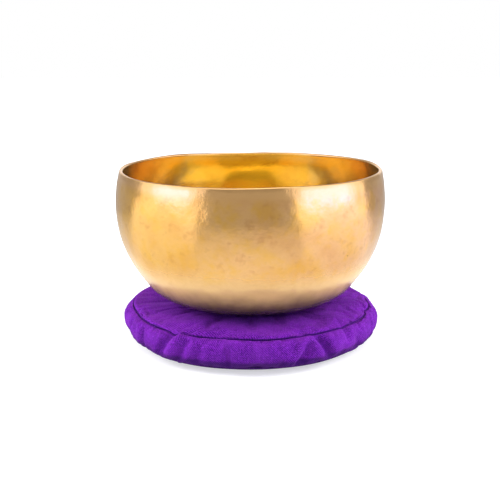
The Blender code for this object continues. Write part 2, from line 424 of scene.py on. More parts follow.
def bowl_section():
    """The bowl's section: up its outside from the foot, over the rim and down its inside.

    Also, for each point of it, the point of the outside that it is beaten with and the way that is out; and
    how many points come before the inside.
    """
    outside = evenly(bowl_outside(), BOWL_SPACING)
    inside = outside + left_normals(outside) * wall_thickness(outside[:, 1])[:, None]
    lip_height = RIM_THICKNESS / 2 * LIP_ROUNDNESS
    outside[-1, 1] -= lip_height
    inside[-1] = (inside[-1, 0], outside[-1, 1])
    half_width = (outside[-1, 0] - inside[-1, 0]) / 2
    turn = np.linspace(0, math.pi, LIP_STEPS + 1)[1:-1]
    lip_radius = inside[-1, 0] + half_width * (1 + np.cos(turn))
    lip = np.stack([lip_radius, outside[-1, 1] + lip_height * np.sin(turn)], axis=1)
    section = np.vstack([outside[1:], lip, inside[:0:-1]])
    beaten_with = np.vstack([outside[1:], np.repeat(outside[-1:], len(lip), axis=0), outside[:0:-1]])
    to_lip = len(outside) - 1
    sides = np.where(np.arange(len(section)) < to_lip + len(lip) // 2, 1.0, -1.0)
    return section, beaten_with, -left_normals(section) * sides[:, None], to_lip + len(lip)


def make_bowl():
    section, beaten_with, outwards, to_inside = bowl_section()
    angles = np.arange(BOWL_SEGMENTS) * math.tau / BOWL_SEGMENTS
    round_x, round_y = np.sin(angles), -np.cos(angles)
    rise = rim_wave(angles)
    rings = np.zeros((len(section), BOWL_SEGMENTS, 3))
    for i, ((r, z), (beaten_r, beaten_z)) in enumerate(zip(section, beaten_with)):
        near_rim = smoothstep(0.55, 1.0, z / BOWL_HEIGHT)
        off_foot = smoothstep(0.0, 0.25, beaten_r / BOWL_RADIUS)
        for j in range(BOWL_SEGMENTS):
            out = beaten(Vector((beaten_r * round_x[j], beaten_r * round_y[j], beaten_z))) * off_foot
            radius = r + outwards[i, 0] * out
            height = z + outwards[i, 1] * out + rise[j] * near_rim
            rings[i, j] = (radius * round_x[j], radius * round_y[j], height)
    rings[:, :, 2] += BOWL_LOW.z
    mesh = ring_mesh("bowl_beaten", rings, (0, 0, BOWL_LOW.z), (0, 0, BOWL_LOW.z + BASE_THICKNESS))
    mesh.materials.append(bronze("bronze_outside", **OUTSIDE_LOOK))
    mesh.materials.append(bronze("bronze_inside", **INSIDE_LOOK))
    for face in mesh.polygons:
        if min(face.vertices) >= to_inside * BOWL_SEGMENTS:
            face.material_index = 1
    made = placed("bowl_beaten", mesh)
    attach(made, "bowl")
    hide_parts("bowl")


# ---------------------------------------------------------------- cushion


def round_values(knots, angles, blur=5.0):
    """A value for each angle, through (degrees, value) knots round the circle, with its corners smoothed."""
    degrees = np.arange(-180, 180)
    known = np.interp(degrees, [a for a, _ in knots], [v for _, v in knots], period=360)
    reach = np.arange(-18, 19)
    weights = np.exp(-((reach / blur) ** 2))
    smooth = sum(w * np.roll(known, r) for r, w in zip(reach, weights)) / weights.sum()
    return np.interp(np.degrees(angles), degrees, smooth, period=360)


def seam_lines(angles):
    """(radius, height) of the lower and of the upper seam at each angle: hand-sewn, so never quite round."""
    lower = round_values(LOWER_SEAM_RADII, angles) + SEAM_SWELL * round_values(BAND_SWELL, angles)
    lower_z = waves(angles, LOWER_SEAM_WAVES, LOWER_SEAM[1])
    kink, shoulder = (np.exp(-((apart(angles, degrees) / width) ** 2)) for degrees, width in (KINK, SHOULDER))
    upper = round_values(UPPER_SEAM_RADII, angles) + KINK_DEPTH * (0.5 * shoulder - kink)
    upper_z = waves(angles, UPPER_SEAM_WAVES, UPPER_SEAM[1])
    upper_z = upper_z + BACK_RISE * smoothstep(*BACK_RISE_FROM, np.abs(np.degrees(apart(angles, 0))))
    return np.stack([lower, lower_z]) * MM, np.stack([upper, upper_z]) * MM


def fold(across, width, depth, side):
    """The height of the cloth across a fold: a valley, and a softer ridge on one side of it."""
    valley = np.exp(-((across / width) ** 2))
    ridge = np.exp(-(((across - side * 1.9 * width) / (1.3 * width)) ** 2))
    return depth * (RIDGE_HEIGHT * ridge - valley)


def band_folds(angles, share, radius):
    """The band's rise at each share of its height and at each angle, from its swell and its folds."""
    bulge = np.sin(math.pi * np.clip(share, 0, 1) ** 0.8)
    height = bulge[:, None] * round_values(BAND_SWELL, angles) * MM
    for at_upper, at_lower, width, depth, side, low, high in BAND_FOLDS:
        middle = at_lower + (at_upper - at_lower) * share
        begun = smoothstep(low - FOLD_FADE, low + FOLD_FADE, share)
        ended = smoothstep(high - FOLD_FADE, high + FOLD_OVERSHOOT, share)
        for i, degrees in enumerate(middle):
            across = apart(angles, degrees) * radius[i]
            rise = fold(across, width * MM, FOLD_DEPTH * depth * MM, side)
            height[i] += begun[i] * (1 - ended[i]) * rise
    return height


def top_folds(angles, inwards, radius):
    """The upper disc's rise at each distance inwards from its seam and at each angle, from its folds."""
    height = np.zeros((len(inwards), len(angles)))
    for at_seam, at_end, width, depth, length in TOP_FOLDS:
        share = inwards / (length * MM)
        fade = 1 - smoothstep(0.35, 1.0, share)
        for i, degrees in enumerate(at_seam + (at_end - at_seam) * share):
            across = apart(angles, degrees) * radius[i]
            height[i] += fade[i] * fold(across, width * MM, depth * MM, 1)
    return height


def uneven(rings, to_band, to_top):
    """The cover with a soft random rise and fall in its band and its upper disc."""
    made = rings.copy()
    for i in range(to_band + 1, len(rings)):
        ring = rings[i]
        rise = np.array([noise.noise(Vector(p) / UNEVEN_SIZE + Vector(UNEVEN_PLACE)) for p in ring])
        off_seat = smoothstep(SEAT_RADIUS, UNEVEN_RADIUS, np.linalg.norm(ring[0, :2]))
        off_seam = min(abs(i - to_top), abs(i - to_band), UNEVEN_RINGS) / UNEVEN_RINGS
        away = ring - CUSHION_MIDDLE if i <= to_top else np.tile((0.0, 0.0, 1.0), (len(ring), 1))
        away /= np.linalg.norm(away, axis=1, keepdims=True)
        made[i] += away * (rise * UNEVEN_HEIGHT * off_seat * off_seam)[:, None]
    return made


def turned(radius, height, angles):
    """Points at each angle, from a radius and a height for each."""
    x, y = radius * np.sin(angles), -radius * np.cos(angles)
    return np.stack([x, y, height * np.ones_like(angles)], axis=-1)


def cover_rings(angles):
    """The rings of the lower disc, the band and the upper disc, before the stuffing fills the cover out."""
    (lower_r, lower_z), (upper_r, upper_z) = seam_lines(angles)
    off_lower = np.stack([lower_r - LOWER_SEAM[0] * MM, lower_z - LOWER_SEAM[1] * MM])
    off_upper = np.stack([upper_r - UPPER_SEAM[0] * MM, upper_z - UPPER_SEAM[1] * MM])

    def panel(outline, share_lower, share_upper, folds):
        line = evenly(curve_through(np.array(outline) * MM, 8), CLOTH_SPACING)
        low, high = share_lower(line), share_upper(line)
        rise = folds(line)
        out = -left_normals(line)
        radius = line[:, :1] + low[:, None] * off_lower[0] + high[:, None] * off_upper[0]
        height = line[:, 1:] + low[:, None] * off_lower[1] + high[:, None] * off_upper[1]
        radius = radius + out[:, :1] * rise
        height = height + out[:, 1:] * rise
        return turned(radius, height, angles)

    def along(line):
        return np.linspace(0.0, 1.0, len(line))

    bottom = panel(
        BOTTOM_OUTLINE,
        lambda line: smoothstep(FLAT_RADIUS, LOWER_SEAM[0] * MM, line[:, 0]),
        lambda line: np.zeros(len(line)),
        lambda line: np.zeros((len(line), len(angles))),
    )
    band = panel(
        BAND_OUTLINE,
        lambda line: 1.0 - along(line),
        along,
        lambda line: band_folds(angles, along(line), line[:, 0]),
    )
    top = panel(
        TOP_OUTLINE,
        lambda line: np.zeros(len(line)),
        lambda line: smoothstep(SLACK_RADIUS, UPPER_SEAM[0] * MM, line[:, 0]),
        lambda line: top_folds(angles, UPPER_SEAM[0] * MM - line[:, 0], line[:, 0]),
    )
    return bottom, band, top


def held_points(rings, to_band, to_top):
    """Which points the simulation leaves in place: the lower disc, the seams and the bowl's seat."""
    radius = np.linalg.norm(rings[:, :, :2], axis=2)
    held = np.zeros(radius.shape, bool)
    held[: to_band + 1] = True
    held[to_top] = True
    held[to_top:] |= radius[to_top:] < SEAT_RADIUS
    return held


def filled_out(rings, held):
    """The rings after the stuffing has pushed out the cloth that isn't held: a simulation of the cloth."""
    mesh = ring_mesh("cover_cloth", rings, (0, 0, 0), TOP_MIDDLE)
    cloth = placed("cover_cloth", mesh)
    pins = cloth.vertex_groups.new(name="held")
    count = rings.shape[0] * rings.shape[1]
    poles = [count, count + 1]
    pins.add([int(i) for i in np.flatnonzero(held.reshape(-1))] + poles, 1.0, "REPLACE")
    settings = cloth.modifiers.new("cloth", "CLOTH").settings
    for name, value in CLOTH.items():
        setattr(settings, name, value)
    settings.effector_weights.gravity = 0.0
    scene = bpy.context.scene
    for frame_number in range(1, CLOTH_FRAMES + 1):
        scene.frame_set(frame_number)
    done = cloth.evaluated_get(bpy.context.evaluated_depsgraph_get())
    moved = np.array([v.co for v in done.data.vertices])[:count].reshape(rings.shape)
    bpy.data.objects.remove(cloth)
    bpy.data.meshes.remove(mesh)
    scene.frame_set(1)
    move = moved - rings
    length = np.linalg.norm(move, axis=2, keepdims=True)
    return rings + move * np.minimum(1.0, CLOTH_CAP / np.maximum(length, 1e-9))


def finer_round(grid):
    """Twice as many points in each ring, on smooth curves through the old ones."""
    ahead = np.roll(grid, -1, axis=1)
    between = (9 * (grid + ahead) - np.roll(grid, 1, axis=1) - np.roll(grid, -2, axis=1)) / 16
    return np.stack([grid, between], axis=2).reshape(len(grid), -1, 3)


def finer_along(grid):
    """Twice as many rings, on smooth curves through the old ones."""
    ends = np.concatenate([2 * grid[:1] - grid[1:2], grid, 2 * grid[-1:] - grid[-2:-1]])
    between = (9 * (ends[1:-2] + ends[2:-1]) - ends[:-3] - ends[3:]) / 16
    made = np.empty((2 * len(grid) - 1, *grid.shape[1:]))
    made[::2] = grid
    made[1::2] = between
    return made


def turned_in(grid, inwards):
    """The panel with its last row rolled over a round edge and turned in, as cloth is at a seam."""
    along = grid[-1] - grid[-2]
    along /= np.linalg.norm(along, axis=1, keepdims=True)
    middle = grid[-1] - along * (FOLD_RADIUS + PLY_GAP)
    rows = [
        middle + FOLD_RADIUS * (along * math.sin(turn) + inwards * (1 - math.cos(turn)))
        for turn in np.linspace(0.0, math.pi / 2, 5)
    ]
    rows.append(rows[-1] + inwards * TURNED_IN)
    return np.concatenate([grid[:-1], rows])


def seam_inwards(line, rise):
    """The way the turned-in cloth leads from each point of a seam; rise is 1 upwards or -1 downwards."""
    flat = line * (1, 1, 0)
    flat /= np.linalg.norm(flat, axis=1, keepdims=True)
    return -flat * math.sin(ALLOWANCE_LEAN) + np.array((0, 0, rise * math.cos(ALLOWANCE_LEAN)))


def strip_mesh(name, grid):
    """A mesh of an open grid of points."""
    rows, columns, _ = grid.shape
    faces = []
    for i in range(rows - 1):
        for j in range(columns - 1):
            a = i * columns + j
            faces.append((a, a + 1, a + columns + 1, a + columns))
    mesh = bpy.data.meshes.new(name)
    mesh.from_pydata([tuple(p) for p in grid.reshape(-1, 3)], [], faces)
    mesh.shade_smooth()
    return mesh


def write_map(mesh, name, places):
    """Writes two numbers for each vertex as one of the mesh's maps."""
    layer = mesh.uv_layers.new(name=name)
    corners = np.zeros(len(mesh.loops), int)
    mesh.loops.foreach_get("vertex_index", corners)
    layer.data.foreach_set("uv", places[corners].astype(np.float32).reshape(-1))


def from_seams(mesh, lines):
    """Each vertex's distance from the nearest seam, in metres, and a nought."""
    tree = KDTree(sum(len(line) for line in lines))
    for number, point in enumerate(point for line in lines for point in line):
        tree.insert(point, number)
    tree.balance()
    return np.array([(tree.find(v.co)[2], 0.0) for v in mesh.vertices])


def cover_piece(name, mesh, node, material):
    """A sewn panel of the cover: real cloth with a thickness, that stands for its CAD node."""
    mesh.materials.append(material)
    made = placed(name, mesh)
    cloth = made.modifiers.new("cloth_thickness", "SOLIDIFY")
    cloth.thickness = CLOTH_THICKNESS
    cloth.offset = -1.0
    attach(made, "cushion")
    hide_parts(node)
    return made


def make_disc(name, grid, pole, node, material, down):
    """A round panel, given as rings from its seam to its middle."""
    edge = turned_in(grid[::-1], seam_inwards(grid[0], 1 if down else -1))
    rings = edge if down else edge[::-1]
    mesh = ring_mesh(name, rings, pole if down else None, None if down else pole)
    points = np.array([v.co for v in mesh.vertices])
    write_map(mesh, "cloth", points[:, :2])
    write_map(mesh, "seam", from_seams(mesh, [grid[0]]))
    return cover_piece(name, mesh, node, material)


def make_band(grid, material):
    """The side band: one strip whose two ends are sewn together at the back."""
    half = grid.shape[1] // 2
    strip = np.roll(grid, half, axis=1)
    strip = np.concatenate([strip, strip[:, :1]], axis=1)
    ends = np.swapaxes(strip, 0, 1)
    forwards = np.tile(FORWARDS, (len(grid), 1))
    ends = turned_in(ends, forwards)
    ends = turned_in(ends[::-1], forwards)[::-1]
    strip = np.swapaxes(ends, 0, 1)
    strip = turned_in(strip, seam_inwards(strip[-1], -1))
    strip = turned_in(strip[::-1], seam_inwards(strip[0], 1))[::-1]
    mesh = strip_mesh("cover_side_band", strip)
    along, across = arc_lengths(strip[len(strip) // 2]), arc_lengths(strip[:, half])
    write_map(mesh, "cloth", np.stack(np.meshgrid(along, across), axis=-1).reshape(-1, 2))
    write_map(mesh, "seam", from_seams(mesh, [grid[0], grid[-1], grid[:, half]]))
    return cover_piece("cover_side_band", mesh, "cushion_side_band", material)


def stitch_points(middle, deep):
    """The points round one stitch, ring after ring, thinner at both ends."""
    way = np.gradient(middle, axis=0)
    way /= np.linalg.norm(way, axis=1, keepdims=True)
    side = np.cross(way, deep)
    side /= np.linalg.norm(side, axis=1, keepdims=True)
    up = np.cross(side, way)
    thick = np.full(STITCH_RINGS, THREAD_RADIUS)
    thick[[0, -1]] *= STITCH_TAPER
    turns = [k * math.tau / STITCH_SIDES for k in range(STITCH_SIDES)]
    return [
        tuple(middle[i] + thick[i] * (side[i] * math.cos(turn) + up[i] * math.sin(turn)))
        for i in range(STITCH_RINGS)
        for turn in turns
    ]


def stitch_faces(base):
    """The faces of one stitch whose points begin at that number."""
    faces = []
    for i in range(STITCH_RINGS - 1):
        for k in range(STITCH_SIDES):
            a, b = (base + i * STITCH_SIDES + n % STITCH_SIDES for n in (k, k + 1))
            faces.append((a, b, b + STITCH_SIDES, a + STITCH_SIDES))
    last = base + (STITCH_RINGS - 1) * STITCH_SIDES
    faces.append(tuple(base + k for k in reversed(range(STITCH_SIDES))))
    faces.append(tuple(last + k for k in range(STITCH_SIDES)))
    return faces


def make_stitches(name, line, inwards, node, closed):
    """A row of stitches down a seam: short bowed threads, one for each pass of the needle."""
    if closed:
        line = np.concatenate([line, line[:1]])
        inwards = np.concatenate([inwards, inwards[:1]])
    along = arc_lengths(line)
    count = int(along[-1] / STITCH_PITCH)
    pitch = along[-1] / count
    bow = STITCH_BOW * np.linspace(-1.0, 1.0, STITCH_RINGS) ** 4
    verts, faces = [], []
    for number in range(count):
        first = (number + 0.5) * pitch - STITCH_LENGTH / 2
        at = first + np.linspace(0.0, STITCH_LENGTH, STITCH_RINGS)
        middle = np.stack([np.interp(at, along, line[:, k]) for k in range(3)], axis=1)
        deep = np.stack([np.interp(at, along, inwards[:, k]) for k in range(3)], axis=1)
        middle += deep * (STITCH_DEPTH + bow[:, None])
        faces += stitch_faces(len(verts))
        verts += stitch_points(middle, deep)
    mesh = bpy.data.meshes.new(name)
    mesh.from_pydata(verts, [], faces)
    mesh.shade_smooth()
    mesh.materials.append(thread())
    made = placed(name, mesh)
    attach(made, "cushion")
    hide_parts(node)


def make_wadding(rings):
    """The stuffing: it fills the cover, and stays clear of the seams."""
    below, above = np.roll(rings, 1, axis=0), np.roll(rings, -1, axis=0)
    below[0], above[-1] = rings[0], rings[-1]
    normals = np.cross(np.roll(rings, -1, axis=1) - np.roll(rings, 1, axis=1), above - below)
    normals /= np.linalg.norm(normals, axis=2, keepdims=True)
    inner = rings - normals * WADDING_GAP
    mesh = ring_mesh("cushion_wadding", inner, (0, 0, WADDING_GAP), (0, 0, TOP_MIDDLE[2] - WADDING_GAP))
    mesh.materials.append(wadding())
    made = placed("cushion_wadding", mesh)
    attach(made, "cushion")
    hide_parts("cushion_filling")


def make_cover(bottom, band, top):
    """The three sewn panels and their stitches, from the rings of each panel."""
    top, band, bottom = finer_round(finer_along(top)), finer_round(finer_along(band)), finer_round(bottom)
    disc_cotton, band_cotton = cotton("cotton_discs"), cotton("cotton_band")
    make_disc("cover_top_panel", top, TOP_MIDDLE, "cushion_top_panel", disc_cotton, False)
    make_disc("cover_bottom_panel", bottom[::-1], (0, 0, 0), "cushion_bottom_panel", disc_cotton, True)
    make_band(band, band_cotton)
    upper, lower, ends = top[0], band[0], band[:, band.shape[1] // 2]
    make_stitches("upper_seam_stitches", upper, seam_inwards(upper, -1), "upper_seam_thread", True)
    make_stitches("lower_seam_stitches", lower, seam_inwards(lower, 1), "lower_seam_thread", True)
    forwards = np.tile(FORWARDS, (len(ends), 1))
    make_stitches("band_seam_stitches", ends, forwards, "band_seam_thread", False)


def make_cushion():
    angles = np.arange(CLOTH_SEGMENTS) * math.tau / CLOTH_SEGMENTS
    bottom, band, top = cover_rings(angles)
    rings = np.concatenate([bottom[:-1], band, top[1:]])
    to_band, to_top = len(bottom) - 1, len(bottom) + len(band) - 2
    rings = uneven(rings, to_band, to_top)
    rings = filled_out(rings, held_points(rings, to_band, to_top))
    rings[:, :, 2] = np.maximum(rings[:, :, 2], 0.0)
    make_wadding(rings)
    make_cover(rings[: to_band + 1], rings[to_band : to_top + 1], rings[to_top:])


# ---------------------------------------------------------------- materials

# Bronze: see bronze() for what each number is
OUTSIDE_LOOK = {
    "tints": ((0.82, 0.475, 0.135), (0.82, 0.48, 0.195), (0.83, 0.49, 0.245)),
    "spread": (5 * MM, 75 * MM),
    "rim_tint": (0.82, 0.48, 0.195),
    "roughness": 0.165,
    "relief": 1.0,
    "stained": 1.0,
    "at_foot": 1.0,
}
INSIDE_LOOK = {
    "tints": ((0.86, 0.66, 0.32), (0.94, 0.645, 0.125), (0.86, 0.66, 0.30)),
    "spread": (52 * MM, 72 * MM),
    "rim_tint": (0.91, 0.70, 0.38),
    "roughness": 0.15,
    "relief": 0.12,
    "stained": 0.4,
    "at_foot": 0.0,
}
TARNISH = (0.85, 0.54, 0.20)
# The nearly black lowest part of the tarnish is painted shade, where the foot sits in the cushion
FOOT_PAINTED_SHADE = (0.11, 0.064, 0.034)
# Heights above the foot between which the tarnish fades, and between which its lowest part goes over to a
# nearly black painted shade where the foot sits in the cushion
TARNISH_END = (33 * MM, 54 * MM)
FOOT_PAINTED_SHADE_END = (16 * MM, 37 * MM)
FOOT_WOBBLE = 6.5 * MM
PIT = (0.10, 0.06, 0.03)
# Cotton
COTTON_DARK = (0.036, 0.001, 0.115)
COTTON_LIGHT = (0.21, 0.008, 0.47)
COTTON_WORN = (0.30, 0.036, 0.60)
COTTON_SHEEN = (0.52, 0.10, 0.85)
# Painted shade: the nearly black colour laid into each seam's crease and over the band's turned-under lower
# edge
PAINTED_SEAM_SHADE = (0.022, 0.0008, 0.080)
# Distances from a seam between which the painted seam shade fades from nearly black to the cloth's own colour
SEAM_SHADE = (0.4 * MM, 1.2 * MM)
# Heights between which a painted shade darkens the band's turned-under lower edge: strong below, gone above
PAINTED_UNDER_SHADE = (8.6 * MM, 12.0 * MM)
TWILL_RIB = 1.7 * MM
YARN = 0.8 * MM
THREAD_COLOURS = ((0.05, 0.004, 0.16), (0.10, 0.010, 0.28))
WADDING_COLOURS = ((0.70, 0.66, 0.58), (0.88, 0.86, 0.80))


class Nodes:
    """A short way to write a node tree: each call makes one node and links what it is given."""

    def __init__(self, tree):
        self.tree = tree

    def add(self, kind, settings=None, **inputs):
        node = self.tree.nodes.new(kind)
        for name, value in (settings or {}).items():
            setattr(node, name, value)
        for name, value in inputs.items():
            self.feed(node, name, value)
        return node

    def feed(self, node, name, value):
        index = int(name[1:]) if name[0] == "i" and name[1:].isdigit() else name.replace("_", " ")
        socket = node.inputs[index]
        if isinstance(value, bpy.types.NodeSocket):
            self.tree.links.new(value, socket)
        else:
            socket.default_value = value

    def math(self, operation, a, b=0.0, c=0.0):
        return self.add("ShaderNodeMath", {"operation": operation}, i0=a, i1=b, i2=c).outputs[0]

    def ramp(self, value, low, high, to_low=0.0, to_high=1.0, straight=False):
        kind = {"interpolation_type": "LINEAR" if straight else "SMOOTHSTEP"}
        node = self.add("ShaderNodeMapRange", kind, i0=value, i1=low, i2=high, i3=to_low, i4=to_high)
        return node.outputs[0]

    def mix(self, factor, a, b, blend="MIX"):
        node = self.tree.nodes.new("ShaderNodeMix")
        node.data_type = "RGBA"
        node.blend_type = blend
        for index, value in ((0, factor), (6, a), (7, b)):
            self.feed(node, f"i{index}", value)
        return node.outputs[2]

    def noise(self, vector, scale, detail=2.0, roughness=0.5):
        return self.add(
            "ShaderNodeTexNoise", None, Vector=vector, Scale=scale, Detail=detail, Roughness=roughness
        ).outputs[0]

    def wave(self, value):
        """A sine between 0 and 1."""
        return self.math("MULTIPLY_ADD", self.math("SINE", value), 0.5, 0.5)

    def bump(self, shader, strength, distance, height):
        node = self.add("ShaderNodeBump", None, Strength=strength, Distance=distance, Height=height)
        self.feed(shader, "Normal", node.outputs[0])


def emptied(made):
    """A new material or world with no nodes, and the way to add some."""
    made.use_nodes = True
    made.node_tree.nodes.clear()
    return made, Nodes(made.node_tree)


def new_material(name):
    made, nodes = emptied(bpy.data.materials.new(name))
    shader = nodes.add("ShaderNodeBsdfPrincipled")
    nodes.add("ShaderNodeOutputMaterial", None, Surface=shader.outputs[0])
    return made, nodes, shader


def rgba(colour):
    return (*colour, 1.0)


def scratches(nodes, place, along, across, detail):
    """Noise drawn out round the bowl: along and across are how fine it is round the bowl and across that."""
    x, y, z = nodes.add("ShaderNodeSeparateXYZ", None, i0=place).outputs
    radius = nodes.math("SQRT", nodes.math("MULTIPLY_ADD", x, x, nodes.math("MULTIPLY", y, y)))
    down = nodes.math("SUBTRACT", z, radius)
    sizes = ((x, along), (y, along), (down, across))
    x, y, down = (nodes.math("MULTIPLY", part, size) for part, size in sizes)
    at = nodes.add("ShaderNodeCombineXYZ", None, i0=x, i1=y, i2=down).outputs[0]
    return nodes.noise(at, 1.0, detail, 0.6)


def dark_pits(nodes, place):
    """1 in small round pits, of which only some are there."""
    pits = nodes.add("ShaderNodeTexVoronoi", None, Vector=place, Scale=85.0)
    is_pit = nodes.ramp(pits.outputs["Distance"], 0.075, 0.045)
    chosen = nodes.add("ShaderNodeSeparateColor", None, i0=pits.outputs["Color"]).outputs[0]
    return nodes.math("MULTIPLY", is_pit, nodes.ramp(chosen, 0.78, 0.84))


def bronze(name, tints, spread, rim_tint, roughness, relief, stained, at_foot):
    """Satin bronze: hammered unevenness, fine scratches round it, clouds of tarnish and small dark pits.

    tints are its colours at -X, in the middle and at +X; they change between the two distances of spread, and
    clouds break them up. relief is how uneven it is, stained is how strong its stains are, and at_foot is how
    much of the brown tarnish there is near its foot, which goes over to a nearly black painted shade at its
    lowest part, where the foot sits in the cushion.
    """
    made, nodes, shader = new_material(name)
    place = nodes.add("ShaderNodeTexCoord").outputs["Object"]
    x, _, z = nodes.add("ShaderNodeSeparateXYZ", None, i0=place).outputs
    grain = scratches(nodes, place, 260.0, 2400.0, 2.0)
    rubbed = scratches(nodes, place, 240.0, 620.0, 3.0)
    clouds = nodes.noise(place, 26.0, 3.0, 0.55)
    blotches = nodes.noise(place, 110.0, 3.0, 0.6)
    dabs = nodes.noise(place, 48.0, 4.0, 0.6)
    pit = dark_pits(nodes, place)
    foot = nodes.math("MULTIPLY_ADD", blotches, 5 * MM, nodes.math("MULTIPLY_ADD", clouds, 8 * MM, z))
    foot = nodes.math("SUBTRACT", foot, BOWL_LOW.z + FOOT_WOBBLE)
    tarnished = nodes.ramp(foot, *TARNISH_END, at_foot, 0.0)

    left, middle, right = (rgba(tint) for tint in tints)
    across = nodes.math("MULTIPLY_ADD", nodes.math("SUBTRACT", dabs, 0.5), 90 * MM, x)
    near, far = spread
    colour = nodes.mix(nodes.ramp(across, -far, -near), left, middle)
    colour = nodes.mix(nodes.ramp(across, near, far), colour, right)
    for amount, shares in (
        (nodes.ramp(clouds, 0.40, 0.72), (0.93, 0.87, 0.80)),
        (nodes.ramp(blotches, 0.48, 0.72, 0.0, stained), (1.0, 0.98, 0.74)),
        (nodes.ramp(dabs, 0.48, 0.68, 0.0, stained), (1.0, 0.97, 0.62)),
        (nodes.ramp(dabs, 0.50, 0.34, 0.0, stained), (0.97, 0.94, 0.96)),
        (nodes.ramp(blotches, 0.46, 0.28, 0.0, stained), (0.90, 0.85, 0.84)),
        (nodes.ramp(rubbed, 0.58, 0.80, 0.0, 0.30), (0.74, 0.68, 0.62)),
    ):
        colour = nodes.mix(amount, colour, rgba(shares), blend="MULTIPLY")
    rim_height = nodes.math("MULTIPLY_ADD", clouds, 6 * MM, z)
    by_rim = nodes.ramp(rim_height, BOWL_HIGH.z - 8 * MM, BOWL_HIGH.z - 1 * MM)
    colour = nodes.mix(by_rim, colour, rgba(rim_tint))
    # Brown tarnish, going over to a nearly black painted shade at the foot's lowest part
    brown = nodes.mix(nodes.ramp(foot, *FOOT_PAINTED_SHADE_END), rgba(FOOT_PAINTED_SHADE), rgba(TARNISH))
    colour = nodes.mix(tarnished, colour, brown)
    nodes.feed(shader, "Base Color", nodes.mix(pit, colour, rgba(PIT)))

    rough = nodes.ramp(grain, 0.3, 0.75, roughness - 0.03, roughness + 0.04)
    nodes.feed(shader, "Roughness", nodes.math("ADD", rough, nodes.ramp(blotches, 0.3, 0.7, 0.0, 0.05)))
    nodes.feed(shader, "Metallic", nodes.math("MULTIPLY_ADD", tarnished, -0.83, 0.98))
    height = nodes.math("MULTIPLY_ADD", blotches, 10.0 * relief, nodes.math("MULTIPLY", grain, 0.25))
    height = nodes.math("MULTIPLY_ADD", dabs, 24.0 * relief, height)
    height = nodes.math("ADD", height, nodes.math("MULTIPLY_ADD", pit, -4.0, rubbed))
    nodes.bump(shader, 0.5, 0.00003 * (0.4 + 0.6 * relief), height)
    return made


def yarns(nodes, across, along):
    """Noise drawn out along the yarns that run one way in the cloth: some are thicker than others."""
    parts = (nodes.math("MULTIPLY", across, 1100.0), nodes.math("MULTIPLY", along, 60.0))
    at = nodes.add("ShaderNodeCombineXYZ", None, i0=parts[0], i1=parts[1]).outputs[0]
    return nodes.noise(at, 1.0, 2.0, 0.6)


def cotton(name):
    """Purple cotton twill: slanted ribs of threads, thicker and thinner yarns, and a dull worn fuzz.

    It has a nearly black painted shade in the crease of each seam and where the band's lower edge turns
    under.
    """
    made, nodes, shader = new_material(name)
    cloth = nodes.add("ShaderNodeUVMap", {"uv_map": "cloth"}).outputs[0]
    u, v, _ = nodes.add("ShaderNodeSeparateXYZ", None, i0=cloth).outputs
    wobble = nodes.math("MULTIPLY", nodes.noise(cloth, 60.0, 2.0, 0.5), 3.0)
    slant = nodes.math("MULTIPLY_ADD", nodes.math("ADD", u, v), math.tau / TWILL_RIB, wobble)
    threads = nodes.wave(nodes.math("MULTIPLY", u, math.tau / YARN))
    weave = nodes.math("MULTIPLY_ADD", threads, 0.4, nodes.math("MULTIPLY", nodes.wave(slant), 0.6))
    slubs = nodes.math("MULTIPLY", yarns(nodes, v, u), 0.5)
    slubs = nodes.math("MULTIPLY_ADD", yarns(nodes, u, v), 0.5, slubs)
    place = nodes.add("ShaderNodeTexCoord").outputs["Object"]
    fuzz = nodes.noise(place, 1000.0, 2.0, 0.6)
    worn = nodes.noise(place, 45.0, 3.0, 0.5)
    seam = nodes.add("ShaderNodeUVMap", {"uv_map": "seam"}).outputs[0]
    from_seam = nodes.add("ShaderNodeSeparateXYZ", None, i0=seam).outputs[0]
    height_up = nodes.add("ShaderNodeSeparateXYZ", None, i0=place).outputs[2]
    colour = nodes.mix(nodes.ramp(slubs, 0.34, 0.58, 0.30, 1.0), rgba(COTTON_DARK), rgba(COTTON_LIGHT))
    for amount, towards in (
        (nodes.ramp(weave, 0.25, 0.75, 1.0, 0.0), COTTON_DARK),
        (nodes.ramp(fuzz, 0.48, 0.70, 0.0, 0.65), COTTON_WORN),
        (nodes.ramp(worn, 0.40, 0.75, 0.0, 0.35), COTTON_WORN),
        # painted shade: the cloth goes nearly black in each seam's crease
        (nodes.ramp(from_seam, *SEAM_SHADE, 0.95, 0.0), PAINTED_SEAM_SHADE),
        # painted shade: the band's turned-under lower edge goes dark, by height
        (nodes.ramp(height_up, *PAINTED_UNDER_SHADE, 0.8, 0.0), PAINTED_SEAM_SHADE),
    ):
        colour = nodes.mix(amount, colour, rgba(towards))
    nodes.feed(shader, "Base Color", colour)
    nodes.feed(shader, "Sheen Weight", nodes.ramp(from_seam, *SEAM_SHADE, 0.0, 0.3))
    nodes.feed(shader, "Sheen Roughness", 0.5)
    nodes.feed(shader, "Sheen Tint", rgba(COTTON_SHEEN))
    nodes.feed(shader, "Roughness", nodes.ramp(fuzz, 0.3, 0.7, 0.82, 0.97))
    nodes.feed(shader, "Specular IOR Level", 0.2)
    height = nodes.math("ADD", weave, nodes.math("MULTIPLY_ADD", fuzz, 0.5, slubs))
    nodes.bump(shader, 0.9, 0.00045, height)
    return made


def thread():
    """Twisted sewing thread, shared by all the stitches."""
    made = bpy.data.materials.get("sewing_thread")
    if made:
        return made
    made, nodes, shader = new_material("sewing_thread")
    place = nodes.add("ShaderNodeTexCoord").outputs["Object"]
    twist = nodes.noise(place, 2600.0, 2.0, 0.6)
    dark, light = (rgba(colour) for colour in THREAD_COLOURS)
    nodes.feed(shader, "Base Color", nodes.mix(nodes.ramp(twist, 0.3, 0.7), dark, light))
    nodes.feed(shader, "Roughness", nodes.ramp(twist, 0.3, 0.7, 0.6, 0.85))
    nodes.bump(shader, 0.5, 0.0001, twist)
    return made


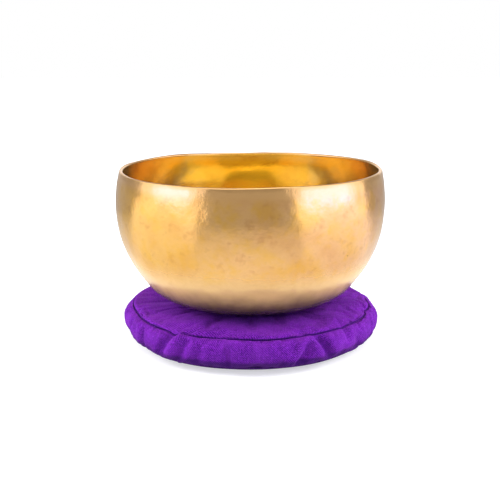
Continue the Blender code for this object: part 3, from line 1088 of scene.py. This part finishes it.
def wadding():
    """Loose cotton wadding, off-white and fibrous."""
    made, nodes, shader = new_material("cotton_wadding")
    place = nodes.add("ShaderNodeTexCoord").outputs["Object"]
    fibres = nodes.noise(place, 700.0, 4.0, 0.7)
    lumps = nodes.noise(place, 80.0, 3.0, 0.5)
    dark, light = (rgba(colour) for colour in WADDING_COLOURS)
    nodes.feed(shader, "Base Color", nodes.mix(nodes.ramp(fibres, 0.3, 0.7), dark, light))
    nodes.feed(shader, "Roughness", nodes.ramp(lumps, 0.3, 0.7, 0.9, 1.0))
    nodes.bump(shader, 0.7, 0.0006, nodes.math("MULTIPLY_ADD", lumps, 3.0, fibres))
    return made


# ---------------------------------------------------------------- studio


def sector(nodes, turn, low, high, soft_low, soft_high):
    """1 between two angles round the object, in degrees, with an edge of that softness at each."""
    low, high, soft_low, soft_high = (math.radians(v) for v in (low, high, soft_low, soft_high))
    up = nodes.ramp(turn, low - soft_low, low + soft_low)
    down = nodes.ramp(turn, high - soft_high, high + soft_high, 1.0, 0.0)
    return nodes.math("MULTIPLY", up, down)


def round_angle(nodes, place):
    """The angle round the object of a place or a direction, and its x, y and z."""
    x, y, z = nodes.add("ShaderNodeSeparateXYZ", None, i0=place).outputs
    return nodes.math("ARCTAN2", x, nodes.math("MULTIPLY", y, -1.0)), x, y, z


def grey(nodes, value):
    return nodes.add("ShaderNodeCombineColor", None, i0=value, i1=value, i2=value).outputs[0]


def make_floor():
    """The table. To the camera it is nearly as white as the room, so that only close shadows show on it.

    In the bronze it is a lit table: grey far in front, and bright towards the two soft lights.
    """
    mesh = bpy.data.meshes.new("studio_floor")
    corners = [(x * FLOOR_HALF, y * FLOOR_HALF, 0) for x, y in ((-1, -1), (1, -1), (1, 1), (-1, 1))]
    mesh.from_pydata(corners, [], [(0, 1, 2, 3)])
    made, nodes = emptied(bpy.data.materials.new("studio_white"))
    turn, x, y, _ = round_angle(nodes, nodes.add("ShaderNodeNewGeometry").outputs["Position"])
    far = nodes.math("SQRT", nodes.math("MULTIPLY_ADD", x, x, nodes.math("MULTIPLY", y, y)))
    lit = nodes.math("ADD", sector(nodes, turn, *LEFT_BOX), sector(nodes, turn, *RIGHT_BOX))
    in_front = nodes.ramp(far, *NEAR_TO_FRONT, TABLE_NEAR, FRONT_GREY, straight=True)
    to_sides = nodes.ramp(far, *NEAR_TO_SIDES, TABLE_NEAR, TABLE_SIDES, straight=True)
    mirrored = nodes.mix(lit, grey(nodes, in_front), grey(nodes, to_sides))
    rays = nodes.add("ShaderNodeLightPath")
    shade = nodes.add("ShaderNodeBsdfDiffuse", None, Color=rgba((FLOOR_WHITE,) * 3)).outputs[0]
    glow = nodes.math("MULTIPLY", rays.outputs["Is Camera Ray"], FLOOR_GLOW)
    glow = nodes.add("ShaderNodeEmission", None, Color=rgba((1, 1, 1)), Strength=glow).outputs[0]
    seen = nodes.add("ShaderNodeAddShader", None, i0=shade, i1=glow).outputs[0]
    mirrored = nodes.add("ShaderNodeEmission", None, Color=mirrored, Strength=1.0).outputs[0]
    either = nodes.add("ShaderNodeMixShader", None, i0=rays.outputs["Is Glossy Ray"], i1=seen, i2=mirrored)
    nodes.add("ShaderNodeOutputMaterial", None, Surface=either.outputs[0])
    mesh.materials.append(made)
    placed("studio_floor", mesh)


def make_world():
    """A white room to the camera; to the bronze, grey walls with a soft light at each side and a ceiling."""
    world, nodes = emptied(bpy.data.worlds.new("studio"))
    bpy.context.scene.world = world
    turn, _, _, z = round_angle(nodes, nodes.add("ShaderNodeTexCoord").outputs["Generated"])
    boxes = nodes.math("ADD", sector(nodes, turn, *LEFT_BOX), sector(nodes, turn, *RIGHT_BOX))
    cores = nodes.math("ADD", sector(nodes, turn, *LEFT_CORE), sector(nodes, turn, *RIGHT_CORE))
    wide = nodes.math("ADD", sector(nodes, turn, *LEFT_WIDE), sector(nodes, turn, *RIGHT_WIDE))
    boxes = nodes.mix(nodes.ramp(z, *BOX_TO_WIDE), grey(nodes, boxes), grey(nodes, wide))
    boxes = nodes.math("MULTIPLY", boxes, nodes.ramp(z, *BOX_END, 1.0, 0.0))
    cores = nodes.math("MULTIPLY", cores, nodes.ramp(z, *CORE_END, 1.0, 0.0))
    behind = nodes.ramp(nodes.math("ABSOLUTE", turn), *BEHIND)
    back = nodes.ramp(z, *BACK_TO_GREY, BACK_WHITE, BACK_GREY)
    back = nodes.math("ADD", back, nodes.ramp(z, *BACK_TO_TOP, 0.0, BACK_TOP_GREY - BACK_GREY))
    base = nodes.mix(behind, grey(nodes, GAP_GREY), grey(nodes, back))
    in_front = nodes.ramp(z, *FRONT_TO_TOP, FRONT_GREY, FRONT_TOP_GREY)
    higher = nodes.ramp(z, *FRONT_TO_HIGH, 0.0, FRONT_HIGH_GREY - FRONT_TOP_GREY)
    in_front = nodes.math("ADD", in_front, higher)
    base = nodes.mix(sector(nodes, turn, *FRONT), base, grey(nodes, in_front))
    base = nodes.mix(boxes, base, grey(nodes, BOX_LIGHT))
    base = nodes.mix(cores, base, rgba([CORE_LIGHT * share for share in CORE_COLOUR]))
    base = nodes.mix(nodes.ramp(z, *TO_CEILING), base, grey(nodes, CEILING_LIGHT))
    seen = nodes.add("ShaderNodeLightPath").outputs["Is Camera Ray"]
    base = nodes.mix(seen, base, grey(nodes, 1.0))
    light = nodes.add("ShaderNodeBackground", None, Color=base, Strength=1.0)
    nodes.add("ShaderNodeOutputWorld", None, Surface=light.outputs[0])


def make_lamps():
    """Soft lamps for the cloth: from both sides, and a weaker one from above."""
    for name, place, size, power in LAMPS:
        data = bpy.data.lights.new(name, "AREA")
        data.shape = "DISK"
        data.size = size
        data.energy = power
        made = bpy.data.objects.new(name, data)
        bpy.context.scene.collection.objects.link(made)
        made.location = place
        made.rotation_euler = (-Vector(place)).to_track_quat("-Z", "Y").to_euler()
        made.visible_glossy = False


def make_camera():
    data = bpy.data.cameras.new("camera")
    data.lens = LENS
    data.sensor_width = SENSOR_WIDTH
    made = bpy.data.objects.new("camera", data)
    bpy.context.scene.collection.objects.link(made)
    made.location = CAMERA_AT
    made.rotation_euler = (CAMERA_AIM - CAMERA_AT).to_track_quat("-Z", "Y").to_euler()
    bpy.context.scene.camera = made


def main():
    bpy.context.scene.view_settings.view_transform = "Standard"
    make_camera()
    make_world()
    make_lamps()
    make_floor()
    make_bowl()
    make_cushion()


main()
